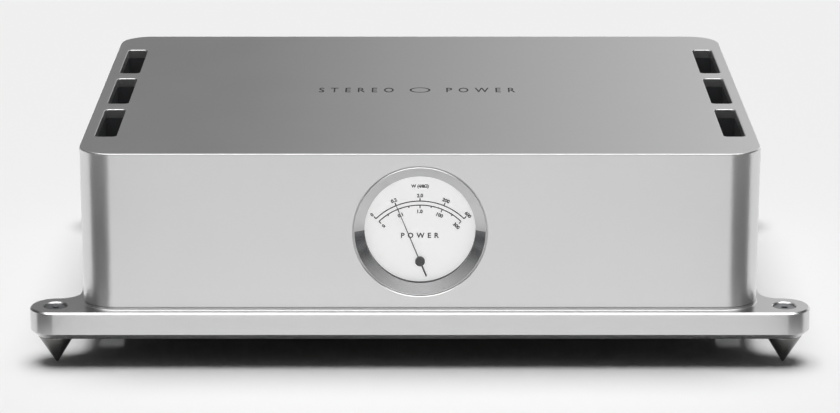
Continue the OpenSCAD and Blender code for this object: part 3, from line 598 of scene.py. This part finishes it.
engraving_paint = moulded_plastic("dark engraving paint", "#161617", 0.6, 0.8, 0.005)
graver = [("left word", "STEREO", -44), ("right word", "POWER", 42)]
cutters = []
for name, words, across in graver:
    letters = lettering(words, LETTER_CAP, spacing=1.9, stroke=0.006, narrow=0.5, thickness=CUTTER_H)
    cutters.append(to_object(letters, name, Matrix.Translation((across, LINE_Y, top_z - GROOVE))))
ring = turned([(RING_R[0], 0), (RING_R[1], 0), (RING_R[1], CUTTER_H), (RING_R[0], CUTTER_H)], 48)
cutters.append(to_object(ring, "ring", Matrix.Translation((0, LINE_Y, top_z - GROOVE))))
for cutter in cutters:
    cutter.data.materials.append(shell_aluminium)
    cutter.data.materials.append(engraving_paint)
    for face in cutter.data.polygons:
        face.material_index = 1
shell.data.materials.append(shell_aluminium)
shell.data.materials.append(engraving_paint)
cut(shell, *cutters, crossing=True)
smooth(shell)
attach(shell, "chassis")
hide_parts("body_shell")
print("made the shell with", len(shell.data.polygons), "faces")

# %% [markdown]
# ## The base plate
#
# The plate is one thick slab with a round ear at each corner. Its outline has only twelve corners, so
# it starts as one flat face: a vertex bevel rounds the eight outer corners and hollows the four inner
# ones, and an extrusion gives the thickness. Both long edges are flat bevels, as a chamfer cutter
# leaves them: a wide one below, and a narrow one above that catches the light as a thin bright line.
# The underside faces the floor and is black, a dark sheet that deepens the shade in the gap under the
# plate.

# %% Base plate: outline, thickness and bevels
EAR_R = 16.5
EAR_FILLET = 13
SIDE_MARGIN = 4
LOW_BEVEL = 4
TOP_BEVEL = 1.1
COVE = {"radius": 0.9, "height": 1.9, "gap": 0.4, "inset": 1.5}

plate_x = shell_high.x + SIDE_MARGIN
plate_y = plate_high.y
ear_tip_x = plate_high.x
ear_x = ear_tip_x - EAR_R
ear_y = plate_y - EAR_R
ear_back_y = plate_y - 2 * EAR_R
plate_top = plate_high.z - COVE["height"] - COVE["gap"]

bm = bmesh.new()
quarter = [(ear_tip_x, plate_y), (ear_tip_x, ear_back_y), (plate_x, ear_back_y)]
right = quarter + [(x, -y) for x, y in reversed(quarter)]
corners = [bm.verts.new((x, y, plate_top)) for x, y in right + [(-x, -y) for x, y in right]]
bm.faces.new(corners)
inner = [v for v in corners if abs(v.co.x) < ear_x]
outer = [v for v in corners if abs(v.co.x) > ear_x]
for group, radius in ((inner, EAR_FILLET), (outer, EAR_R)):
    bmesh.ops.bevel(bm, geom=group, affect="VERTICES", offset=radius, segments=14, profile=0.5,
                    material=-1, clamp_overlap=False)
bmesh.ops.remove_doubles(bm, verts=bm.verts, dist=0.001)
raised(bm, plate_low.z - plate_top)
for height, width in ((plate_top, TOP_BEVEL), (plate_low.z, LOW_BEVEL)):
    rim = [e for e in bm.edges if all(abs(v.co.z - height) < 0.001 for v in e.verts)]
    bmesh.ops.bevel(bm, geom=rim, affect="EDGES", offset=width, segments=1, profile=0.5,
                    material=-1, clamp_overlap=False)
bmesh.ops.recalc_face_normals(bm, faces=bm.faces)
plate = to_object(bm, "plate")
print("the plate is", round(plate_top - plate_low.z, 1), "mm thick")

# %% [markdown]
# A hollow moulding leads from the plate up to the shell and stops just short of it. The shadow gap
# that is left hides the joint. The moulding is a stack of rounded outlines whose insets follow an arc.

# %% Base plate: cove, wells and slots
def cove_reach(height):
    """How far the moulding stands out beyond the shell at this height over the plate."""
    drop = max(0, COVE["radius"] - height)
    return COVE["radius"] - (COVE["radius"] ** 2 - drop ** 2) ** 0.5


heights = [COVE["radius"] * i / 4 for i in range(5)] + [COVE["height"]]
levels = [(-COVE["radius"], plate_top - 1)] + [(-cove_reach(h), plate_top + h) for h in heights]
levels += [(COVE["inset"], levels[-1][1]), (COVE["inset"], shell_low.z)]
cove = stack([(shell_size.x, shell_size.y, i, z) for i, z in levels], CORNER_R, 16)
join(plate, to_object(cove, "cove"))

WELL_R = 7.5
WELL_DEPTH = 10.3
WELL_BREAK = 0.7
COUNTERBORE = {"across": (-170, -85, 85, 170), "radius": 4, "deep": 8, "head_r": 3.6}
well = [(0, -WELL_DEPTH), (WELL_R, -WELL_DEPTH)]
well += [(WELL_R, -WELL_BREAK), (WELL_R + WELL_BREAK, 0), (WELL_R + WELL_BREAK, 2), (0, 2)]
EARS = {"front_left": (-ear_x, -ear_y), "front_right": (ear_x, -ear_y),
        "rear_left": (-ear_x, ear_y), "rear_right": (ear_x, ear_y)}
cutters = []
for corner, (x, y) in EARS.items():
    cutters.append(to_object(turned(well, 64), "well", Matrix.Translation((x, y, plate_top))))
for x, y in VENT_PLACES:
    reach = (plate_low.z - 1, shell_low.z + 1)
    slot = stack([(VENT["width"], VENT["length"], 0, z) for z in reach], VENT["radius"], 6)
    cutters.append(to_object(slot, "slot", Matrix.Translation((x, y, 0))))
screw_low, screw_high = box_mm("base_screws")
for x in COUNTERBORE["across"]:
    for y in (screw_low.y + COUNTERBORE["head_r"], screw_high.y - COUNTERBORE["head_r"]):
        radius, deep = COUNTERBORE["radius"], COUNTERBORE["deep"]
        bore = turned([(0, -1), (radius, -1), (radius, deep), (0, deep)], 32)
        cutters.append(to_object(bore, "counterbore", Matrix.Translation((x, y, plate_low.z))))
cut(plate, *cutters)
smooth(plate)
finish_piece(plate, "chassis", ["base_plate"], "plate_aluminium", plate_aluminium,
             FINISHES["panel_black"])
# The black underside is a dark sheet put there to deepen the shade in the gap under the plate.
underside = [face for face in plate.data.polygons if face.normal.z < -0.99]
for face in underside:
    face.material_index = 1
print("painted", len(underside), "faces of the underside black")

# %% [markdown]
# ## Feet
#
# Each ear stands on a cone that is turned from steel bar, with a short straight rim over the cone and
# a blunt tip. The profile of half a section, spun once round, is just what a lathe makes.

# %% Cone feet
SOCKET_R = 4.05
SOCKET_FLOOR = 9.5
for corner, (x, y) in EARS.items():
    low, high = box_mm("spike_" + corner)
    reach = (high.x - low.x) / 2
    rim = [(reach - inset, z) for inset, z in rounded_over(0.3, high.z, 2)]
    cone = [(0, 0), (0.5, 0.05), (0.8, 0.3), (reach, high.z - 0.8)]
    socket = [(SOCKET_R, high.z), (SOCKET_R, SOCKET_FLOOR), (0, SOCKET_FLOOR)]
    foot = to_object(turned(cone + rim + socket, 72), "cone_foot_" + corner, Matrix.Translation((x, y, 0)))
    smooth(foot)
    finish_piece(foot, "foot_" + corner, ["spike_" + corner], "spike_steel")

# %% [markdown]
# ## The meter's ring
#
# The ring is a turned dish that leads the eye down to the dial. Its lower half carries the polished
# insert, so the ring is cut away there by the insert's own thickness. Both are spins of one profile:
# a full turn for the ring, half a turn for the insert.

# %% Meter ring and insert
LIP = 0.8
WINDOW_R = 35.9
DISH = 4.2
INSERT_T = 0.5
TAIL = {"shoulder": 7, "radius": 39.3, "length": 18, "bore_r": 36.6}
lip_r = METER_R - LIP - 0.2
glass_depth = box_mm("meter_glass")[0].y - front_y
slope = Vector((lip_r - WINDOW_R, -DISH)).normalized()
into = Vector((-slope.y, slope.x))

ring = [(WINDOW_R, DISH), (lip_r, 0.15), (lip_r + 0.15, 0), (METER_R - BORE_BREAK, 0),
        (METER_R, BORE_BREAK), (METER_R, TAIL["shoulder"]), (TAIL["radius"], TAIL["shoulder"]),
        (TAIL["radius"], TAIL["length"]), (TAIL["bore_r"], TAIL["length"]),
        (TAIL["bore_r"], glass_depth), (WINDOW_R, glass_depth)]
bezel = to_object(turned(ring, 160), "bezel_ring", METER)
ends = [Vector((lip_r, 0)), Vector((WINDOW_R, DISH))]
over = [tuple(p - into) for p in ends] + [tuple(p + into * INSERT_T) for p in reversed(ends)]
cut(bezel, to_object(turned(over, 80, angle=pi), "insert bed", METER))
smooth(bezel, 20)
finish_piece(bezel, "chassis", ["meter_bezel"], "bezel_satin")

section = [tuple(p) for p in ends] + [tuple(p + into * INSERT_T) for p in reversed(ends)]
insert = to_object(turned(section, 80, angle=pi), "polished_insert", METER)
smooth(insert, 30)
# The insert's finish carries a painted reflection, dark at the top and light at the bottom.
finish_piece(insert, "chassis", ["bezel_insert"], "bezel_polished")

# %% [markdown]
# ## The dial
#
# The dial is a painted disc with two scales printed on it: watts into 4 ohms outside and into 8 ohms
# inside. Printed ink could be a texture, but here it is a very thin mesh, which stays sharp at any
# size. The marks turn about the needle's pivot, so each is made upright and then turned.

# %% Dial and its printing
DIAL_R = 36.5
DIAL_T = 1
PIVOT_DROP = 22
pivot_z = meter_z - PIVOT_DROP
dial_y = box_mm("dial_plate")[0].y
disc = turned([(0, DIAL_T), (DIAL_R, DIAL_T), (DIAL_R, 0), (0, 0)], 128)
dial = to_object(disc, "dial", METER @ Matrix.Translation((0, 0, dial_y - front_y)))
smooth(dial)
finish_piece(dial, "chassis", ["dial_plate"], "dial_white")

OUTER_ARC = 40.2
INNER_ARC = 37.5
SWEEP = 45
INK = 0.05
ARC_WIDE = 0.75
LONG_MARK = 2.0
SHORT_MARK = 1.2
NUMBER_CAP = 2.6
MAJORS = (-45, -22.5, 0, 22.5, 45)
SCALES = {43.9: "0 0.2 2.0 200 600", 33.3: "0 0.1 1.0 100 300"}
WORDS = (("W (4/8Ω)", 3.0, 1.0, 0.055, 119.0), ("POWER", 3.6, 1.85, 0.03, 86.2))
marks = bmesh.new()


def add_marks(flat, place):
    """Adds a flat mark to the printing."""
    flat.transform(place)
    mesh = bpy.data.meshes.new("mark")
    flat.to_mesh(mesh)
    flat.free()
    marks.from_mesh(mesh)
    bpy.data.meshes.remove(mesh)


def arc(radius, width):
    """Part of a thin ring, from one end of the scale to the other."""
    bm = bmesh.new()
    ends = [bm.verts.new((0, radius + side * width / 2, 0)) for side in (-1, 1)]
    edge = bm.edges.new(ends)
    bmesh.ops.rotate(bm, matrix=Matrix.Rotation(radians(SWEEP), 3, "Z"), verts=ends)
    bmesh.ops.spin(bm, geom=ends + [edge], cent=(0, 0, 0), axis=(0, 0, -1), angle=radians(2 * SWEEP),
                   steps=60)
    return bm


def tick(inner, outer, width):
    """A straight mark between two radii."""
    bm = bmesh.new()
    bmesh.ops.create_grid(bm, x_segments=1, y_segments=1, size=0.5)
    bmesh.ops.scale(bm, vec=(width, outer - inner, 1), verts=bm.verts)
    bmesh.ops.translate(bm, vec=(0, (inner + outer) / 2, 0), verts=bm.verts)
    return bm


def turned_by(angle):
    """A turn about the needle's pivot, clockwise from upright."""
    return Matrix.Rotation(radians(-angle), 4, "Z")


for radius in (OUTER_ARC, INNER_ARC):
    add_marks(arc(radius, ARC_WIDE), Matrix())
for angle in MAJORS:
    add_marks(tick(OUTER_ARC, OUTER_ARC + LONG_MARK, 0.8), turned_by(angle))
for step in range(9):
    angle = -SWEEP + step * SWEEP / 4
    length = LONG_MARK if step % 2 == 0 else SHORT_MARK
    add_marks(tick(INNER_ARC - length, INNER_ARC, 0.7), turned_by(angle))
for radius, labels in SCALES.items():
    for angle, label in zip(MAJORS, labels.split()):
        number = lettering(label, NUMBER_CAP, stroke=0.05)
        add_marks(number, turned_by(angle) @ Matrix.Translation((0, radius, 0)))
for words, cap, spacing, stroke, height in WORDS:
    add_marks(lettering(words, cap, spacing, stroke), Matrix.Translation((0, height - pivot_z, 0)))
raised(marks, INK)
upright = Matrix.Translation((0, dial_y, pivot_z)) @ Matrix.Rotation(radians(90), 4, "X")
printing = to_object(marks, "dial_printing", upright)
printing_ink = moulded_plastic("black printing ink", "#141415", 0.6, 0.8, 0.001)
printing_ink.node_tree.nodes["Principled BSDF"].inputs["Specular IOR Level"].default_value = 0.2
printing.data.materials.append(printing_ink)
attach(printing, "chassis")
print("printed", len(MAJORS) * 2, "numbers on the dial")

# %% [markdown]
# ## Glass
#
# The glass is float glass. It must not throw a shadow on the dial, because a real pane lets the light
# through, and a path tracer would need many samples to find that out.

# %% Glass
GLASS_R = 36.4
GLASS_T = 2
pane = turned([(0, 0), (GLASS_R, 0), (GLASS_R, GLASS_T), (0, GLASS_T)], 128)
glass = to_object(pane, "glass_pane", METER @ Matrix.Translation((0, 0, glass_depth)))
smooth(glass)
glass.visible_shadow = False
glass.visible_diffuse = False
finish_piece(glass, "chassis", ["meter_glass"], "meter_glass")

# %% [markdown]
# ## Connectors, nuts and screws
#
# The rear connectors already have their right shape in the CAD. A copy of each gets its loose
# triangles merged, its flat faces joined again, and its edges broken with a small bevel, because a
# perfectly sharp edge never catches the light as a real one does.

# %% Pieces refined from the CAD
slot_of = {row["node"]: row["material_slot"] for row in frame["record"]["subparts"]}
body_of = {name: body for body, names in frame["record"]["behaviour"]["bodies"].items() for name in names}


def refined(source, edge_mm, name):
    """A copy of a CAD node with merged faces and broken edges, which stands for it."""
    bm = bmesh.new()
    bm.from_mesh(frame["nodes"][source].data)
    bmesh.ops.scale(bm, vec=(1 / MM, 1 / MM, 1 / MM), verts=bm.verts)
    bmesh.ops.remove_doubles(bm, verts=bm.verts, dist=0.002)
    bmesh.ops.dissolve_limit(bm, angle_limit=radians(0.5), verts=bm.verts, edges=bm.edges)
    made = to_object(bm, name)
    smooth(made, 30, edge_mm)
    return finish_piece(made, body_of[source], [source], slot_of[source])


REFINED = {
    "rear_panel": ("connector_tray", 0.4),
    "xlr_sockets": ("balanced_sockets", 0.25),
    "xlr_latch_left": ("latch_tab_left", 0.3),
    "xlr_latch_right": ("latch_tab_right", 0.3),
    "rca_sockets": ("phono_sockets", 0.2),
    "trigger_socket": ("remote_socket", 0.25),
    "speaker_posts": ("speaker_studs", 0.25),
    "mains_inlet": ("mains_socket", 0.3),
    "fuse_drawer": ("fuse_tray", 0.25),
    "rocker_frame": ("switch_frame", 0.3),
    "power_rocker": ("switch_rocker", 0.4),
    "rear_screws": ("rear_cap_screws", 0.15),
    "base_screws": ("base_cap_screws", 0.2),
    "needle": ("pointer", 0.04),
}
for number in (1, 2, 3, 4):
    REFINED[f"post_washer_{number}"] = (f"washer_{number}", 0.25)
    REFINED[f"post_nut_{number}"] = (f"fluted_nut_{number}", 0.3)
for corner in EARS:
    REFINED[f"level_screw_{corner}"] = (f"levelling_screw_{corner}", 0.4)
for source, (name, edge_mm) in REFINED.items():
    refined(source, edge_mm, name)

# %% [markdown]
# ## Nodes that keep their CAD shape
#
# Everything inside the shell keeps the CAD node itself and only gets its finish: the sinks that show
# through the vents, the transformer, the capacitors and the boards.

# %% Finishes for the nodes that stay
kept = [part for part in frame["nodes"].values() if not part.hide_render]
for part in kept:
    part.data.materials.clear()
    part.data.materials.append(FINISHES[slot_of[part.name]])
print("gave", len(kept), "CAD nodes their finish")

# %% [markdown]
# ## Studio, light and camera
#
# A plain pale sweep, one wide soft light above, and a camera in front, well above the amplifier.
# The light models the paper and the painted pieces. Metal only shows what it reflects, so a product
# studio hangs cards round it, and here they only show in reflections and throw no shadow:
# - a graded card behind gives the top its run from dark to light
# - a silk card overhead keeps the metal pale from above
# - an edge strip in front of it draws the thin bright line along every upper edge
# - a front card lightens the meter's ring and the views from behind
# - a flag on the floor beside each front corner gives the corner its soft dark band

# %% Floor and world
floor_bm = bmesh.new()
bmesh.ops.create_grid(floor_bm, x_segments=1, y_segments=1, size=8000)
floor = to_object(floor_bm, "floor", Matrix.Translation((0, 0, -0.1)))
paper, tree, shader = new_material("white paper sweep", "#E9E9E9", 0.9)
fibre = node(tree, "ShaderNodeTexNoise", Vector=point_in_steps(tree, 4), Scale=1.0, Detail=2.0)
relief = node(tree, "ShaderNodeBump", Height=fibre.outputs["Fac"], Distance=0.01 * MM)
link(tree, shader, Normal=relief.outputs["Normal"], Specular_IOR_Level=0.0)
floor.data.materials.append(paper)
floor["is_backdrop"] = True

world = bpy.data.worlds.new("studio")
world.use_nodes = True
scene.world = world
world.node_tree.nodes["Background"].inputs["Color"].default_value = (1.0, 1.0, 1.0, 1.0)
world.node_tree.nodes["Background"].inputs["Strength"].default_value = 0.06
scene.view_settings.view_transform = "Standard"
print("the floor is", floor.dimensions.x, "m wide")

# %% Overhead light
overhead = bpy.data.lights.new("overhead silk", "SUN")
overhead.energy = 3.15
overhead.angle = radians(44)
silk = bpy.data.objects.new("overhead silk", overhead)
silk.rotation_euler = (radians(-3), 0, 0)
silk.visible_glossy = False
scene.collection.objects.link(silk)
print("the silk overhead is", round(2 * tan(overhead.angle / 2), 2), "m wide for each metre of height")

# %% Cards that only show in reflections
def card(shape, name, place, glow, fade=None):
    """A card of one glow in reflections, or of a glow that fades along X: {mm: glow, mm: glow}."""
    made = to_object(shape, name, place)
    finish = bpy.data.materials.new(name)
    finish.use_nodes = True
    tree = finish.node_tree
    tree.nodes.clear()
    light = node(tree, "ShaderNodeEmission", Strength=glow)
    if fade:
        (start, first), (end, last) = fade.items()
        spot = tree.nodes.new("ShaderNodeTexCoord").outputs["Object"]
        across = node(tree, "ShaderNodeSeparateXYZ", Vector=spot).outputs["X"]
        share = node(tree, "ShaderNodeMapRange", Value=across, From_Min=start * MM, From_Max=end * MM,
                     To_Min=first, To_Max=last)
        link(tree, light, Strength=share.outputs["Result"])
    node(tree, "ShaderNodeOutputMaterial", Surface=light.outputs["Emission"])
    made.data.materials.append(finish)
    for ray in ("camera", "diffuse", "shadow", "transmission"):
        setattr(made, "visible_" + ray, False)
    made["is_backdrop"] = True


CARDS = (
    ("graded card", (3600, 1300), (0, 1200, 650), 90, 1.0, {-200: 0.225, 1000: 1.08}),
    ("silk card", (3200, 3200), (0, 0, 2200), 0, 1.2, None),
    ("edge strip", (3200, 700), (0, -950, 2100), 0, 4.0, None),
    ("front card", (9000, 3700), (0, -2700, 2350), 90, 0.5, None),
)
for name, (width, length), spot, tip, glow, fade in CARDS:
    sheet = bmesh.new()
    bmesh.ops.create_grid(sheet, x_segments=1, y_segments=1, size=0.5)
    bmesh.ops.scale(sheet, vec=(width, length, 1), verts=sheet.verts)
    card(sheet, name, Matrix.Translation(spot) @ Matrix.Rotation(radians(tip), 4, "X"), glow, fade)

FLAG = {"reach": (95, 900), "from_front": 14, "spread": 70, "centre": (222, -158, 1), "glow": 0.13}
for side in (-1, 1):
    flag = bmesh.new()
    ends = [flag.verts.new((radius, 0, 0)) for radius in FLAG["reach"]]
    spoke = flag.edges.new(ends)
    start = Matrix.Rotation(radians(-90 - FLAG["from_front"]), 3, "Z")
    bmesh.ops.rotate(flag, matrix=start, verts=ends)
    bmesh.ops.spin(flag, geom=ends + [spoke], cent=(0, 0, 0), axis=(0, 0, -1),
                   angle=radians(FLAG["spread"]), steps=12)
    x, y, z = FLAG["centre"]
    place = Matrix.Translation((side * x, y, z)) @ Matrix.Diagonal((-side, 1, 1, 1))
    card(flag, "corner flag", place, FLAG["glow"])
print("placed", len(CARDS), "cards and 2 flags")

# %% Camera
CAMERA_PLACE = Vector((0, -2.1105, 0.659))
TILT = 15.85
LENS = 134.6
camera_data = bpy.data.cameras.new("camera")
camera_data.sensor_width = 36
camera_data.lens = LENS
camera_data.clip_end = 50
camera = bpy.data.objects.new("camera", camera_data)
camera.location = CAMERA_PLACE
camera.rotation_euler = (radians(90 - TILT), 0, 0)
scene.collection.objects.link(camera)
scene.camera = camera
print("the camera looks down by", TILT, "degrees")

# %% [markdown]
# ## The visual model's size
#
# The span of the visual model is printed.

# %% Size and finish
low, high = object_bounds()
print("the visual model spans", [round(v, 4) for v in high - low], "metres")
